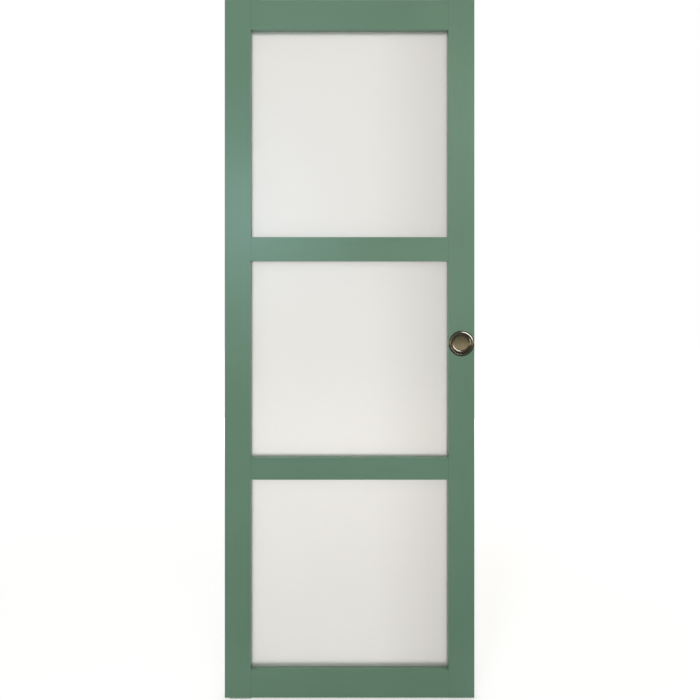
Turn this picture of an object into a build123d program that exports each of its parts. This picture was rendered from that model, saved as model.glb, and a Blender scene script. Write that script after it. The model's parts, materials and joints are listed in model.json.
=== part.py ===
from build123d import *
import os

# Glazed sliding door: a stile-and-rail leaf with three obscured panes and a
# round flush finger pull on each face, hung from two four-wheeled trolleys in a
# top track and steadied by a guide on the floor. It is drawn closed.
# Millimetres. +X runs along the track to the closed end, +Y from the leaf's
# front face to its back face, +Z up. The origin is on the floor, below the
# middle of the track, at half the leaf's thickness.

# Leaf
leaf_width = 730.0
leaf_height = 2040.0
leaf_thickness = 40.0
leaf_floor_gap = 8.0
stile_width = 76.0
top_rail_height = 88.0
upper_rail_height = 70.0
lower_rail_height = 65.0
bottom_rail_height = 82.0
upper_opening_height = 606.0
middle_opening_height = 574.0
outer_round = 1.2
sight_round = 0.8

# Glazing: front lip, tape, pane, tape and bead fill the leaf's thickness
front_lip = 16.0
rebate_width = 12.0
glass_thickness = 5.0
glass_edge_gap = 3.0
glass_seaming = 0.5
tape_thickness = 1.5
tape_setback = 1.0
bead_bevel = 3.0
setting_block_length = 60.0

# Tenons on the rails' ends, glued into blind mortises in the stiles
tenon_thickness = 12.0
tenon_length = 50.0
tenon_shoulder = 6.0
glue_gap = 0.1

# Finger pulls, turned in one piece
pull_height = 1035.0
pull_diameter = 75.0
pull_mouth_diameter = 62.0
pull_floor_diameter = 46.0
pull_depth = 10.0
pull_ring_height = 2.4
pull_ring_bevel = 3.2
pull_wall = 1.5
pull_bore_gap = 0.3

# Travel, stops and track
leaf_travel = 640.0
track_run_out = 90.0
track_gap = 22.0
track_width = 36.0
track_height = 34.0
track_wall = 2.6
track_slot = 12.0
track_round = 1.0
lip_thickness = 1.6
lip_height = 2.5
track_hole_diameter = 5.0
track_hole_inset = 70.0
track_hole_count = 4

# Trolleys
hanger_inset = 60.0
wheel_diameter = 22.0
wheel_base = 40.0
wheel_rise_gap = 0.3
wheel_side_gap = 1.1
wheel_bore_gap = 0.05
axle_diameter = 5.0
axle_overhang = 0.7
trolley_length = 66.0
trolley_height = 16.0
trolley_corner = 5.0
trolley_wheel_gap = 0.5
trolley_lip_gap = 0.8

# Hanger bolts, lock nuts, plates and plate screws
bolt_diameter = 8.0
bolt_head_flats = 13.0
bolt_head_height = 5.3
bolt_head_gap = 0.2
bolt_reach = 6.0
bolt_end_gap = 2.0
bolt_bore_gap = 0.5
nut_height = 5.0
thread_gap = 0.05
plate_length = 80.0
plate_width = 32.0
plate_thickness = 6.0
plate_screw_pitch = 56.0
screw_diameter = 5.0
screw_head_flats = 8.0
screw_head_height = 3.5
screw_length = 40.0

# Stops with rubber buffers, clamped in the track by set screws
stop_length = 16.0
stop_height = 24.0
stop_side_gap = 0.4
stop_lip_gap = 0.5
buffer_length = 7.0
buffer_width = 16.0
buffer_height = 12.0
buffer_chamfer = 1.5
buffer_gap = 0.5
set_screw_diameter = 6.0
set_screw_socket_flats = 3.0
set_screw_socket_depth = 3.0
set_screw_rise = 5.0

# Floor guide and the groove that runs over it
groove_width = 8.0
groove_depth = 18.0
guide_length = 70.0
guide_width = 26.0
guide_base = 3.5
guide_corner = 8.0
guide_fin_length = 34.0
guide_fin_height = 15.0
guide_side_gap = 0.5
guide_hole_diameter = 4.5
guide_hole_pitch = 50.0
guide_sink_diameter = 8.5

# Heights
leaf_bottom = leaf_floor_gap
leaf_top = leaf_bottom + leaf_height
pull_z = leaf_bottom + pull_height
bottom_rail_top = leaf_bottom + bottom_rail_height
top_rail_bottom = leaf_top - top_rail_height
upper_rail_top = top_rail_bottom - upper_opening_height
upper_rail_bottom = upper_rail_top - upper_rail_height
lower_rail_top = upper_rail_bottom - middle_opening_height
lower_rail_bottom = lower_rail_top - lower_rail_height
track_bottom = leaf_top + track_gap
track_top = track_bottom + track_height
ledge_top = track_bottom + track_wall
lip_top = ledge_top + lip_height
axle_z = ledge_top + wheel_rise_gap + wheel_diameter / 2
trolley_bottom = lip_top + trolley_lip_gap
trolley_top = trolley_bottom + trolley_height
trolley_mid = trolley_bottom + trolley_height / 2
bolt_seat = trolley_top - bolt_head_height - bolt_head_gap
plate_top = leaf_top + plate_thickness
screw_tip = plate_top - screw_length

# Places through the leaf, from the front face to the back face
front_y = -leaf_thickness / 2
back_y = leaf_thickness / 2
lip_back = front_y + front_lip
glass_front = lip_back + tape_thickness
glass_back = glass_front + glass_thickness
bead_front = glass_back + tape_thickness
bead_depth = back_y - bead_front

# Places along the track
track_length = leaf_width + leaf_travel + track_run_out
leaf_right = track_length / 2
leaf_left = leaf_right - leaf_width
sight_left = leaf_left + stile_width
sight_right = leaf_right - stile_width
hanger_x = {"left": leaf_left + hanger_inset, "right": leaf_right - hanger_inset}
pull_x = leaf_right - stile_width / 2
guide_x = leaf_left + (leaf_width - leaf_travel) / 2
buffer_run = trolley_length / 2 + buffer_gap
buffers = {
    "left": (hanger_x["left"] - leaf_travel - buffer_run, -1),
    "right": (hanger_x["right"] + buffer_run, 1),
}
screw_run = buffer_length + stop_length / 2
stop_screw_x = [tip + outward * screw_run for tip, outward in buffers.values()]

# Across the track, from its middle to one side
cavity_half = track_width / 2 - track_wall
ledge_inner = track_slot / 2 + lip_thickness
wheel_inner = ledge_inner + wheel_side_gap
wheel_outer = cavity_half - wheel_side_gap
wheel_width = wheel_outer - wheel_inner
axle_end = wheel_outer + axle_overhang
trolley_width = 2 * (wheel_inner - trolley_wheel_gap)

# Rails as (bottom, top), and the openings between them
rails = {
    "rail_bottom": (leaf_bottom, bottom_rail_top),
    "rail_lower_mid": (lower_rail_bottom, lower_rail_top),
    "rail_upper_mid": (upper_rail_bottom, upper_rail_top),
    "rail_top": (top_rail_bottom, leaf_top),
}
openings = {
    "lower": (bottom_rail_top, lower_rail_bottom),
    "middle": (lower_rail_top, upper_rail_bottom),
    "upper": (upper_rail_top, top_rail_bottom),
}


def save(piece, name):
    """Label a finished piece and write it under the name of its node."""
    piece.label = name
    export_step(piece, f"parts/{name}.step")


def tenon_heights(rail):
    """Where a rail's tenons start and end, clear of rebates, groove and screws."""
    bottom, top = rails[rail]
    low = bottom + (groove_depth if rail == "rail_bottom" else rebate_width)
    high = screw_tip if rail == "rail_top" else top - rebate_width
    return low + tenon_shoulder, high - tenon_shoulder


def make_plate_screws(gap):
    """The hexagon-headed screws of both hanger plates, or with a gap their holes."""
    with BuildPart() as screws:
        for hanger in hanger_x.values():
            places = [(hanger + side * plate_screw_pitch / 2, 0) for side in (-1, 1)]
            with BuildSketch(Plane.XY.offset(screw_tip - gap)):
                with Locations(*places):
                    Circle(screw_diameter / 2 + gap)
            extrude(amount=screw_length + gap)
            if gap == 0:
                with BuildSketch(Plane.XY.offset(plate_top)):
                    with Locations(*places):
                        RegularPolygon(screw_head_flats / 2, 6, major_radius=False)
                extrude(amount=screw_head_height)
    return screws.part


def make_bolt_bores():
    """The bores in the leaf's top for the ends of the hanger bolts."""
    depth = bolt_reach + bolt_end_gap
    with BuildPart() as bores:
        with BuildSketch(Plane.XY.offset(leaf_top - depth)):
            with Locations(*[(x, 0) for x in hanger_x.values()]):
                Circle(bolt_diameter / 2 + bolt_bore_gap)
        extrude(amount=depth)
    return bores.part


def make_pull_bores():
    """The blind bores in both faces of the right stile for the pulls' cups."""
    radius = pull_mouth_diameter / 2 + pull_wall + pull_bore_gap
    depth = pull_depth + pull_wall + pull_bore_gap
    with BuildPart() as bores:
        for face_y, inward in ((front_y, 1), (back_y, -1)):
            with BuildSketch(Plane.XZ.offset(-face_y)):
                with Locations((pull_x, pull_z)):
                    Circle(radius)
            extrude(amount=-inward * depth)
    return bores.part


screw_bores = make_plate_screws(thread_gap)
bolt_bores = make_bolt_bores()
pull_bores = make_pull_bores()


def make_stile(x_outer, x_inner, bores):
    """A stile: full height, rebated behind each opening, mortised and grooved."""
    inward = 1 if x_inner > x_outer else -1
    with BuildPart() as stile:
        with BuildSketch(Plane.XY.offset(leaf_bottom)) as section:
            with Locations(((x_outer + x_inner) / 2, 0)):
                Rectangle(stile_width, leaf_thickness)
            sides = section.vertices().group_by(Axis.X)
            outer, inner = (sides[0], sides[-1]) if inward > 0 else (sides[-1], sides[0])
            fillet(outer, outer_round)
            fillet(inner, sight_round)
        extrude(amount=leaf_height)
        with BuildSketch(Plane.XZ.offset(-back_y)):
            for bottom, top in openings.values():
                with Locations((x_inner - inward * rebate_width / 2, (bottom + top) / 2)):
                    Rectangle(rebate_width, top - bottom + 2 * rebate_width)
        extrude(amount=back_y - lip_back, mode=Mode.SUBTRACT)
        with BuildSketch(Plane.XY.offset(leaf_bottom)):
            with Locations(((x_outer + x_inner) / 2, 0)):
                Rectangle(stile_width, groove_width)
        extrude(amount=groove_depth, mode=Mode.SUBTRACT)
        with BuildSketch(Plane.YZ.offset(x_inner)):
            for rail in rails:
                low, high = tenon_heights(rail)
                with Locations((0, (low + high) / 2)):
                    Rectangle(tenon_thickness + 2 * glue_gap, high - low + 2 * glue_gap)
        extrude(amount=-inward * (tenon_length + glue_gap), mode=Mode.SUBTRACT)
        add(bores, mode=Mode.SUBTRACT)
    return stile.part


def make_rail(rail):
    """A rail, rebated at the back along its openings, with a tenon at each end."""
    bottom, top = rails[rail]
    low, high = tenon_heights(rail)
    rebate_depth = back_y - lip_back
    with BuildPart() as piece:
        with BuildSketch(Plane.YZ.offset(sight_left)) as section:
            with Locations((0, (bottom + top) / 2)):
                Rectangle(leaf_thickness, top - bottom)
            fillet(section.vertices().group_by(Axis.X)[0], sight_round)
            if rail != "rail_bottom":
                with Locations((back_y - rebate_depth / 2, bottom + rebate_width / 2)):
                    Rectangle(rebate_depth, rebate_width, mode=Mode.SUBTRACT)
            else:
                with Locations((0, bottom + groove_depth / 2)):
                    Rectangle(groove_width, groove_depth, mode=Mode.SUBTRACT)
            if rail != "rail_top":
                with Locations((back_y - rebate_depth / 2, top - rebate_width / 2)):
                    Rectangle(rebate_depth, rebate_width, mode=Mode.SUBTRACT)
        extrude(amount=sight_right - sight_left)
        with BuildSketch(Plane.YZ.offset(sight_left - tenon_length)):
            with Locations((0, (low + high) / 2)):
                Rectangle(tenon_thickness, high - low)
        extrude(amount=sight_right - sight_left + 2 * tenon_length)
        if rail == "rail_top":
            add(screw_bores, mode=Mode.SUBTRACT)
            add(bolt_bores, mode=Mode.SUBTRACT)
    return piece.part


def make_pane(bottom, top):
    """A pane with seamed edges, held clear of the rebate all round."""
    cover = rebate_width - glass_edge_gap
    with BuildPart() as pane:
        with BuildSketch(Plane.XZ.offset(-glass_back)):
            with Locations(((sight_left + sight_right) / 2, (bottom + top) / 2)):
                Rectangle(sight_right - sight_left + 2 * cover, top - bottom + 2 * cover)
        extrude(amount=glass_thickness)
        rim = pane.edges().filter_by(GeomType.LINE).filter_by(Axis.Y, reverse=True)
        chamfer(rim, glass_seaming)
    return pane.part


def make_tape(bottom, top, tape_back):
    """A frame of glazing tape around the edge of one face of a pane."""
    cover = rebate_width - glass_edge_gap
    middle = ((sight_left + sight_right) / 2, (bottom + top) / 2)
    with BuildPart() as tape:
        with BuildSketch(Plane.XZ.offset(-tape_back)):
            with Locations(middle):
                Rectangle(sight_right - sight_left + 2 * cover, top - bottom + 2 * cover)
                Rectangle(
                    sight_right - sight_left + 2 * tape_setback,
                    top - bottom + 2 * tape_setback,
                    mode=Mode.SUBTRACT,
                )
        extrude(amount=tape_thickness)
    return tape.part


def make_bead(bottom, top, side):
    """One mitred bead behind a pane, its exposed edge bevelled.

    The bore of the back pull reaches into the right bead beside it.
    """
    inner = [
        (sight_left, bottom),
        (sight_right, bottom),
        (sight_right, top),
        (sight_left, top),
    ]
    outer = [
        (sight_left - rebate_width, bottom - rebate_width),
        (sight_right + rebate_width, bottom - rebate_width),
        (sight_right + rebate_width, top + rebate_width),
        (sight_left - rebate_width, top + rebate_width),
    ]
    start = ("bottom", "right", "top", "left").index(side)
    end = (start + 1) % 4
    edge_x = (inner[start][0] + inner[end][0]) / 2
    edge_z = (inner[start][1] + inner[end][1]) / 2
    with BuildPart() as bead:
        with BuildSketch(Plane.XZ.offset(-back_y)):
            with BuildLine():
                Polyline(outer[start], outer[end], inner[end], inner[start], close=True)
            make_face()
        extrude(amount=bead_depth)
        exposed = bead.edges().sort_by_distance((edge_x, back_y, edge_z))[0]
        chamfer(exposed, bead_bevel)
        if side == "right":
            add(pull_bores, mode=Mode.SUBTRACT)
    return bead.part


def make_setting_blocks():
    """Two blocks under each pane, a quarter of its width in from each side."""
    width = sight_right - sight_left
    with BuildPart() as blocks:
        for bottom, top in openings.values():
            with BuildSketch(Plane.XY.offset(bottom - rebate_width)):
                for x in (sight_left + width / 4, sight_right - width / 4):
                    with Locations((x, (glass_front + glass_back) / 2)):
                        Rectangle(setting_block_length, glass_thickness)
            extrude(amount=glass_edge_gap)
    return blocks.part


def make_pull(face_y, inward):
    """A turned finger pull: a bevelled ring on the face and a dish with a sloping wall."""
    rim = pull_diameter / 2
    mouth = pull_mouth_diameter / 2
    floor = pull_floor_diameter / 2
    section_plane = Plane(origin=(pull_x, face_y, pull_z), x_dir=(1, 0, 0), z_dir=(0, 0, inward))
    with BuildPart() as pull:
        with BuildSketch(section_plane):
            with BuildLine():
                Polyline(
                    (0, pull_depth),
                    (floor, pull_depth),
                    (mouth, -pull_ring_height),
                    (rim - pull_ring_bevel, -pull_ring_height),
                    (rim, 0),
                    (mouth + pull_wall, 0),
                    (mouth + pull_wall, pull_depth + pull_wall),
                    (0, pull_depth + pull_wall),
                    close=True,
                )
            make_face()
        revolve(axis=Axis((pull_x, face_y, pull_z), (0, 1, 0)))
    return pull.part


def make_hanger_plate(x):
    """A plate for the leaf's top edge, threaded for its hanger bolt."""
    with BuildPart() as plate:
        with BuildSketch(Plane.XY.offset(leaf_top)):
            with Locations((x, 0)):
                Rectangle(plate_length, plate_width)
        extrude(amount=plate_thickness)
        with BuildSketch(Plane.XY.offset(leaf_top)):
            with Locations((x, 0)):
                Circle(bolt_diameter / 2 + thread_gap)
        extrude(amount=plate_thickness, mode=Mode.SUBTRACT)
        add(screw_bores, mode=Mode.SUBTRACT)
    return plate.part


def make_hanger_bolt(x):
    """A hexagon-headed bolt, its head sunk in the trolley, its end in the leaf."""
    tip = leaf_top - bolt_reach
    with BuildPart() as bolt:
        with BuildSketch(Plane.XY.offset(bolt_seat)):
            with Locations((x, 0)):
                RegularPolygon(bolt_head_flats / 2, 6, major_radius=False)
        extrude(amount=bolt_head_height)
        with BuildSketch(Plane.XY.offset(tip)):
            with Locations((x, 0)):
                Circle(bolt_diameter / 2)
        extrude(amount=bolt_seat - tip)
    return bolt.part


def make_lock_nut(x):
    """The nut that locks the bolt against its plate once the height is set."""
    with BuildPart() as nut:
        with BuildSketch(Plane.XY.offset(plate_top)):
            with Locations((x, 0)):
                RegularPolygon(bolt_head_flats / 2, 6, major_radius=False)
                Circle(bolt_diameter / 2 + thread_gap, mode=Mode.SUBTRACT)
        extrude(amount=nut_height)
    return nut.part


def make_trolley(x):
    """A trolley's block: a hexagon pocket for the bolt's head and two axle bores."""
    with BuildPart() as trolley:
        with BuildSketch(Plane.XY.offset(trolley_bottom)):
            with Locations((x, 0)):
                RectangleRounded(trolley_length, trolley_width, trolley_corner)
        extrude(amount=trolley_height)
        with BuildSketch(Plane.XY.offset(bolt_seat)):
            with Locations((x, 0)):
                RegularPolygon(bolt_head_flats / 2 + bolt_head_gap, 6, major_radius=False)
        extrude(amount=trolley_top - bolt_seat, mode=Mode.SUBTRACT)
        with BuildSketch(Plane.XY.offset(trolley_bottom)):
            with Locations((x, 0)):
                Circle(bolt_diameter / 2 + bolt_head_gap)
        extrude(amount=trolley_height, mode=Mode.SUBTRACT)
        with BuildSketch(Plane.XZ):
            with Locations((x - wheel_base / 2, axle_z), (x + wheel_base / 2, axle_z)):
                Circle(axle_diameter / 2 + thread_gap)
        extrude(amount=trolley_width / 2, both=True, mode=Mode.SUBTRACT)
    return trolley.part


def make_wheel(x, inner_y, side):
    """A wheel that turns on its axle beside the trolley, its inner face at inner_y."""
    with BuildPart() as wheel:
        with BuildSketch(Plane((x, inner_y, axle_z), (1, 0, 0), (0, side, 0))):
            Circle(wheel_diameter / 2)
            Circle(axle_diameter / 2 + wheel_bore_gap, mode=Mode.SUBTRACT)
        extrude(amount=wheel_width)
    return wheel.part


def make_axles():
    """The trolleys' four fixed axles, each through its trolley and two wheels."""
    with BuildPart() as axles:
        for hanger in hanger_x.values():
            with BuildSketch(Plane.XZ.offset(-axle_end)):
                for side in (-1, 1):
                    with Locations((hanger + side * wheel_base / 2, axle_z)):
                        Circle(axle_diameter / 2)
            extrude(amount=2 * axle_end)
    return axles.part


def make_track():
    """The track: a box channel with a slot below and a lip along each ledge."""
    half = track_width / 2
    slot_half = track_slot / 2
    start = Plane.YZ.offset(-track_length / 2)
    first_hole = track_length / 2 - track_hole_inset
    pitch = 2 * first_hole / (track_hole_count - 1)
    with BuildPart() as track:
        with BuildSketch(start) as section:
            with BuildLine():
                right = Polyline(
                    (0, track_top),
                    (half, track_top),
                    (half, track_bottom),
                    (slot_half, track_bottom),
                    (slot_half, lip_top),
                    (ledge_inner, lip_top),
                    (ledge_inner, ledge_top),
                    (cavity_half, ledge_top),
                    (cavity_half, track_top - track_wall),
                    (0, track_top - track_wall),
                )
                mirror(right, about=Plane.YZ)
            make_face()
            corners = section.vertices().group_by(Axis.X)
            fillet(corners[0] + corners[-1], track_round)
        extrude(amount=track_length)
        with BuildSketch(Plane.XY.offset(track_top)):
            with GridLocations(pitch, 0, track_hole_count, 1):
                Circle(track_hole_diameter / 2)
        extrude(amount=-track_wall, mode=Mode.SUBTRACT)
    return track.part


def make_stop(buffer_x, outward):
    """A stop block that straddles the track's lips, bored for its set screw."""
    face_x = buffer_x + outward * buffer_length
    half = cavity_half - stop_side_gap
    relief = ledge_inner + stop_lip_gap
    relief_top = lip_top + stop_lip_gap
    with BuildPart() as stop:
        with BuildSketch(Plane.YZ.offset(face_x)):
            with BuildLine():
                Polyline(
                    (-half, ledge_top),
                    (-relief, ledge_top),
                    (-relief, relief_top),
                    (relief, relief_top),
                    (relief, ledge_top),
                    (half, ledge_top),
                    (half, ledge_top + stop_height),
                    (-half, ledge_top + stop_height),
                    close=True,
                )
            make_face()
        extrude(amount=outward * stop_length)
        with BuildSketch(Plane.XY.offset(relief_top)):
            with Locations((face_x + outward * stop_length / 2, 0)):
                Circle(set_screw_diameter / 2 + thread_gap)
        extrude(amount=stop_height, mode=Mode.SUBTRACT)
    return stop.part


def make_buffer(buffer_x, outward):
    """A rubber block bonded to its stop's face, bevelled where the trolley meets it."""
    with BuildPart() as buffer:
        with BuildSketch(Plane.YZ.offset(buffer_x)):
            with Locations((0, trolley_mid)):
                Rectangle(buffer_width, buffer_height)
        extrude(amount=outward * buffer_length)
        tip = buffer.faces().sort_by_distance((buffer_x, 0, trolley_mid))[0]
        chamfer(tip.edges(), buffer_chamfer)
    return buffer.part


def make_stop_screws():
    """The stops' set screws, driven from below and pressing on the track's roof."""
    bottom = ledge_top + set_screw_rise
    with BuildPart() as screws:
        with BuildSketch(Plane.XY.offset(bottom)):
            with Locations(*[(x, 0) for x in stop_screw_x]):
                Circle(set_screw_diameter / 2)
        extrude(amount=track_top - track_wall - bottom)
        with BuildSketch(Plane.XY.offset(bottom)):
            with Locations(*[(x, 0) for x in stop_screw_x]):
                RegularPolygon(set_screw_socket_flats / 2, 6, major_radius=False)
        extrude(amount=set_screw_socket_depth, mode=Mode.SUBTRACT)
    return screws.part


def make_floor_guide():
    """The floor guide: a screwed-down foot whose fin runs in the leaf's groove."""
    fin_width = groove_width - 2 * guide_side_gap
    with BuildPart() as guide:
        with BuildSketch(Plane.XY):
            with Locations((guide_x, 0)):
                RectangleRounded(guide_length, guide_width, guide_corner)
        extrude(amount=guide_base)
        with BuildSketch(Plane.XY.offset(guide_base)):
            with Locations((guide_x, 0)):
                SlotOverall(guide_fin_length, fin_width)
        extrude(amount=guide_fin_height)
        holes = [(guide_x + side * guide_hole_pitch / 2, 0, guide_base) for side in (-1, 1)]
        with Locations(*holes):
            CounterSinkHole(guide_hole_diameter / 2, guide_sink_diameter / 2, guide_base, 90)
    return guide.part


os.makedirs("parts", exist_ok=True)

top_bores = [screw_bores, bolt_bores]
save(make_stile(leaf_left, sight_left, top_bores), "stile_left")
save(make_stile(leaf_right, sight_right, top_bores + [pull_bores]), "stile_right")
for rail_name in rails:
    save(make_rail(rail_name), rail_name)

for place, (opening_bottom, opening_top) in openings.items():
    save(make_pane(opening_bottom, opening_top), f"pane_{place}")
    save(make_tape(opening_bottom, opening_top, glass_front), f"tape_{place}_front")
    save(make_tape(opening_bottom, opening_top, bead_front), f"tape_{place}_back")
    for bead_side in ("bottom", "right", "top", "left"):
        bead = make_bead(opening_bottom, opening_top, bead_side)
        save(bead, f"bead_{place}_{bead_side}")
save(make_setting_blocks(), "setting_blocks")

save(make_pull(front_y, 1), "pull_front")
save(make_pull(back_y, -1), "pull_back")

for end, bolt_x in hanger_x.items():
    save(make_hanger_plate(bolt_x), f"hanger_plate_{end}")
    save(make_hanger_bolt(bolt_x), f"hanger_bolt_{end}")
    save(make_lock_nut(bolt_x), f"lock_nut_{end}")
    save(make_trolley(bolt_x), f"trolley_{end}")
    for row, y_side in (("front", -1), ("back", 1)):
        for number, wheel_x in ((1, bolt_x - wheel_base / 2), (2, bolt_x + wheel_base / 2)):
            wheel = make_wheel(wheel_x, y_side * wheel_inner, y_side)
            save(wheel, f"wheel_{end}_{row}_{number}")
save(make_plate_screws(0), "hanger_plate_screws")
save(make_axles(), "axles")

save(make_track(), "track")
for end, (tip_x, outward) in buffers.items():
    save(make_stop(tip_x, outward), f"track_stop_{end}")
    save(make_buffer(tip_x, outward), f"stop_buffer_{end}")
save(make_stop_screws(), "stop_screws")
save(make_floor_guide(), "floor_guide")
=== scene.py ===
# %% [markdown]
# # A glazed sliding door
# This lesson dresses a sliding door that already exists as an exact model. The model
# is the fixed frame: every stile, pane and bolt is in its place and nothing here moves
# it. What is missing is the look: satin paint over timber, etched glass, a turned
# nickel finger pull, threads, rolling wheels. Each cell adds one of them.

# %% Load the model of the door
import json
import bmesh
import bpy
import numpy as np
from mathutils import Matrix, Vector

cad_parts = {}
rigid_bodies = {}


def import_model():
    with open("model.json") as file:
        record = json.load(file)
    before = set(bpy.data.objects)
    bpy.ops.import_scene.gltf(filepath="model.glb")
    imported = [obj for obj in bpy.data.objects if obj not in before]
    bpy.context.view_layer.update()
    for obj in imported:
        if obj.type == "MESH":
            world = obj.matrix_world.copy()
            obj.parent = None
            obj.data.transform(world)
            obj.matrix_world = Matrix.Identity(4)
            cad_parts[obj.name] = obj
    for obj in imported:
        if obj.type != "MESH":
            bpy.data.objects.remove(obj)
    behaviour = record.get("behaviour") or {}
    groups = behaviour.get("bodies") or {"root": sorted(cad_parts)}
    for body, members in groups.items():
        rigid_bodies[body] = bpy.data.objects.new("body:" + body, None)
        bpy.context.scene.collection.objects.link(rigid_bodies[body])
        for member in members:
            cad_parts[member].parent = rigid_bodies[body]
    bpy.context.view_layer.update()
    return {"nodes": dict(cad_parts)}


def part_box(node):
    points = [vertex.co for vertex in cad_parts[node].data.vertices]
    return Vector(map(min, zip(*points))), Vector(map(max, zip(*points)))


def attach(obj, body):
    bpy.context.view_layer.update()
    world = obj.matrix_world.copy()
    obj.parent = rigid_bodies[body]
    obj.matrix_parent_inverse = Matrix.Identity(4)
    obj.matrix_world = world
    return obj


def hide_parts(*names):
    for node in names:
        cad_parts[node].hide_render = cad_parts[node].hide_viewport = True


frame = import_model()
nodes = frame["nodes"]
MM = 0.001

# %% [markdown]
# ## The camera
# The picture looks straight at the door, a little above its pull. A level camera keeps
# the stiles upright, so the picture is framed with a small vertical shift instead of a
# tilt. The distance is chosen from how much of each rail's top edge shows, and the lens
# from the size of the leaf in the frame: one pixel is 2.922 mm on the leaf's face. Two
# more numbers are shares of the frame's width: how far the leaf's middle lies to the
# left of the frame's, and how far its top lies above the middle of the frame.

# %% Set the camera in front of the leaf
CAMERA_DISTANCE = 1.75
CAMERA_HEIGHT = 1.22
FRAME_PIXELS = 700
PIXEL_ON_LEAF = 2.922 * MM
FRAME_WIDTH = FRAME_PIXELS * PIXEL_ON_LEAF
SENSOR_WIDTH = 36
SIDE_SHIFT = 0.0006
TOP_EDGE = 0.5005

leaf_low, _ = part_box("stile_left")
_, leaf_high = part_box("stile_right")
leaf_middle = (leaf_low.x + leaf_high.x) / 2
camera_data = bpy.data.cameras.new("camera")
camera = bpy.data.objects.new("camera", camera_data)
bpy.context.scene.collection.objects.link(camera)
camera.location = (leaf_middle, leaf_low.y - CAMERA_DISTANCE, CAMERA_HEIGHT)
camera.rotation_euler = (np.pi / 2, 0, 0)
camera_data.sensor_width = SENSOR_WIDTH
camera_data.lens = SENSOR_WIDTH * CAMERA_DISTANCE / FRAME_WIDTH
camera_data.shift_x = SIDE_SHIFT
camera_data.shift_y = (leaf_high.z - CAMERA_HEIGHT) / FRAME_WIDTH - TOP_EDGE
bpy.context.scene.camera = camera
bpy.context.scene.view_settings.view_transform = "Standard"
print("lens", round(camera_data.lens, 2), "shift", round(camera_data.shift_y, 4))

# %% [markdown]
# ## The white world
# The background is plain white and the light is soft. A world that lit the door as
# strongly as it looks would bleach it, so the world is two backgrounds: rays that see
# it, straight, mirrored or through glass, find full white, and all other rays find a
# dimmer one. A Light Path node tells the rays apart. Nodes that calculate come up in
# every finish, so they get a helper first.

# %% Make a helper for sums
def calculate(tree, operation, *terms):
    """One Math node. Each term is a number or the output of another node."""
    node = tree.nodes.new("ShaderNodeMath")
    node.operation = operation
    for socket, term in zip(node.inputs, terms):
        if isinstance(term, (int, float)):
            socket.default_value = term
        else:
            tree.links.new(term, socket)
    return node.outputs[0]


print("helper ready:", calculate.__name__)

# %% Make the white world
WORLD_LIGHT = 0.48

world = bpy.data.worlds.new("studio")
bpy.context.scene.world = world
world.use_nodes = True
tree = world.node_tree
dim = tree.nodes["Background"]
white = tree.nodes.new("ShaderNodeBackground")
for background, strength in ((dim, WORLD_LIGHT), (white, 1.0)):
    background.inputs["Color"].default_value = (1, 1, 1, 1)
    background.inputs["Strength"].default_value = strength
rays = tree.nodes.new("ShaderNodeLightPath").outputs
looking = calculate(tree, "MAXIMUM", rays["Is Camera Ray"], rays["Is Transmission Ray"])
looking = calculate(tree, "MAXIMUM", looking, rays["Is Glossy Ray"])
choose = tree.nodes.new("ShaderNodeMixShader")
tree.links.new(looking, choose.inputs["Fac"])
tree.links.new(dim.outputs[0], choose.inputs[1])
tree.links.new(white.outputs[0], choose.inputs[2])
tree.links.new(choose.outputs[0], tree.nodes["World Output"].inputs["Surface"])
print("world light", WORLD_LIGHT)

# %% [markdown]
# ## The lamps
# The world gives about half of the light. The other half comes from three large fills,
# above, in front and behind, because light from all sides at once would leave the glass
# dark beside the lips that hold it. The fills stay out of reflections. One lamp does
# show in them: a small window behind the camera on the left, which lays the long cool
# sheen on the left stile. From behind, the glass would show each lamp as a glaring
# spot, so the lamps are also hidden from rays that pass through it.

# %% Hang the lamps
COOL_LIGHT = (0.60, 0.95, 1.12)
WARM_LIGHT = (1.0, 0.97, 0.90)
WARMER_LIGHT = (1.12, 0.97, 0.84)
SHEEN_PLACE, SHEEN_AIM = (-0.26, -2.05, 1.63), (0.05, 0, 1.4)
SHEEN_SIZE = (0.45, 0.66)
SHEEN_RADIANCE = 7.9
FILL_AIM = (leaf_middle, 0, 1.1)


def hang_lamp(name, place, target, size, radiance, colour):
    """An area lamp of the given size that faces a point. Its power is pi times its
    area times its radiance, so that a mirror shows it that many times brighter than
    white. Glass doesn't show it."""
    data = bpy.data.lights.new(name, "AREA")
    data.shape = "RECTANGLE"
    data.size, data.size_y = size
    data.energy = np.pi * size[0] * size[1] * radiance
    data.color = colour
    lamp = bpy.data.objects.new(name, data)
    bpy.context.scene.collection.objects.link(lamp)
    lamp.location = place
    aim = Vector(target) - Vector(place)
    lamp.rotation_euler = aim.to_track_quat("-Z", "Y").to_euler()
    lamp.visible_transmission = False
    return lamp


sheen_left = hang_lamp("sheen_left", SHEEN_PLACE, SHEEN_AIM, SHEEN_SIZE, SHEEN_RADIANCE,
                       COOL_LIGHT)
for name, back, height, size, radiance, colour in (
    ("fill_above", -1.9, 3.4, (2.4, 1.0), 1.7, WARMER_LIGHT),
    ("fill_front", -3.6, 1.25, (3.0, 2.4), 1.45, WARM_LIGHT),
    ("fill_back", 3.6, 1.25, (3.0, 2.4), 1.45, WARM_LIGHT),
):
    fill = hang_lamp(name, (leaf_middle, back, height), FILL_AIM, size, radiance, colour)
    fill.visible_glossy = False

# %% [markdown]
# ## The floor
# A white floor that is only lit comes out grey beside a white world, and a floor that
# only glows has no shadow. So the floor does both: a pale matt paint takes the light
# and the door's shadow, and a glow that only the camera and the glass can see lifts it
# to white. Less light reaches the floor far from the lamps, so the glow grows with the
# distance.

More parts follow.
